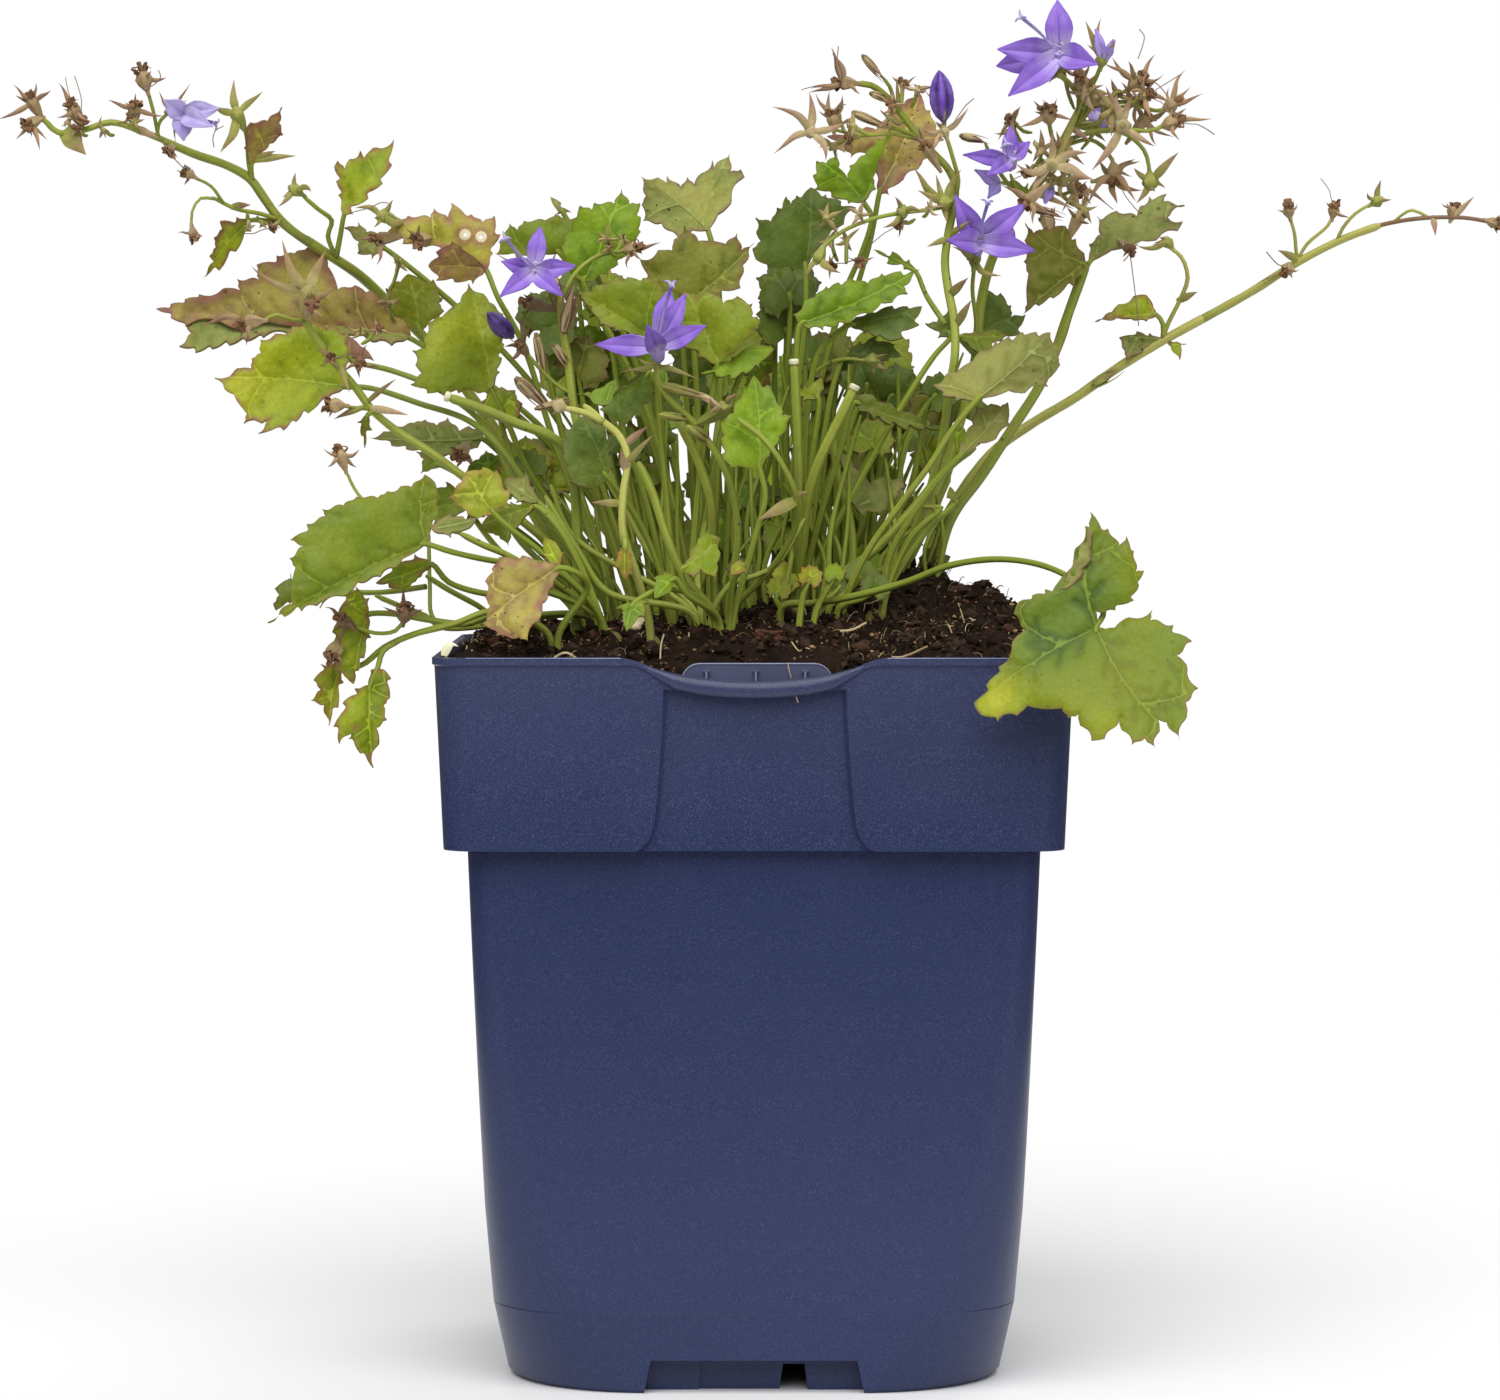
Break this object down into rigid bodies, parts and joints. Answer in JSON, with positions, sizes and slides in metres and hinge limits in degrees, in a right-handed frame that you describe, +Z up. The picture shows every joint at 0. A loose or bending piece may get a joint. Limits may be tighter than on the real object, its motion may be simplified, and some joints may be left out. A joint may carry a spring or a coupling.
{
  "type": "potted bellflower",
  "caption": "Trailing bellflower with scalloped leaves, starry violet blooms and dry seed heads, growing in soil in a square plastic nursery pot.",
  "frame": {"origin": "centre of the whole plant's box in X and Y, at the underside of the pot that it stands on", "axes": "+Z up out of the pot, -Y out of the side with the sunken rim and the label tongue, +X to the right as seen from that side"},
  "size_m": [0.269, 0.1368, 0.2442],
  "materials": {
    "pot": "satin",
    "soil": "matt",
    "pebble": "matt",
    "bark": "matt",
    "leaf": "satin",
    "stem": "satin",
    "petal": "matt",
    "bud": "matt"
  },
  "bodies": {
    "root": {"pot": "pot", "soil": "soil", "pebble": "pebble", "bark_chip_left": "bark", "bark_chip_middle": "bark", "leaves_left_high": "leaf", "leaves_left_mid": "leaf", "leaves_left_front": "leaf", "leaves_left_behind": "leaf", "leaves_left_low": "leaf", "leaves_centre_front": "leaf", "leaves_centre": "leaf", "leaves_centre_top": "leaf", "leaves_right_top": "leaf", "leaves_right_mid": "leaf", "leaf_right_grey": "leaf", "leaves_right_low": "leaf", "leaf_right_big": "leaf", "leaves_back_left": "leaf", "leaves_back_centre": "leaf", "leaves_back_right": "leaf", "stem_left_long": "stem", "stem_left_low": "stem", "cut_stem_left": "stem", "stem_front_pale": "stem", "stem_centre_left": "stem", "stem_centre": "stem", "stem_right_bud": "stem", "stem_right_blooms": "stem", "stem_right_leafy": "stem", "stem_right_long": "stem", "bloom_star_left": "petal", "bloom_star_centre": "petal", "bloom_top": "petal", "bloom_low": "petal", "bloom_side": "petal", "bloom_far": "petal", "bloom_left": "petal", "bud_right": "bud", "bud_left": "bud"}
  },
  "joints": []
}
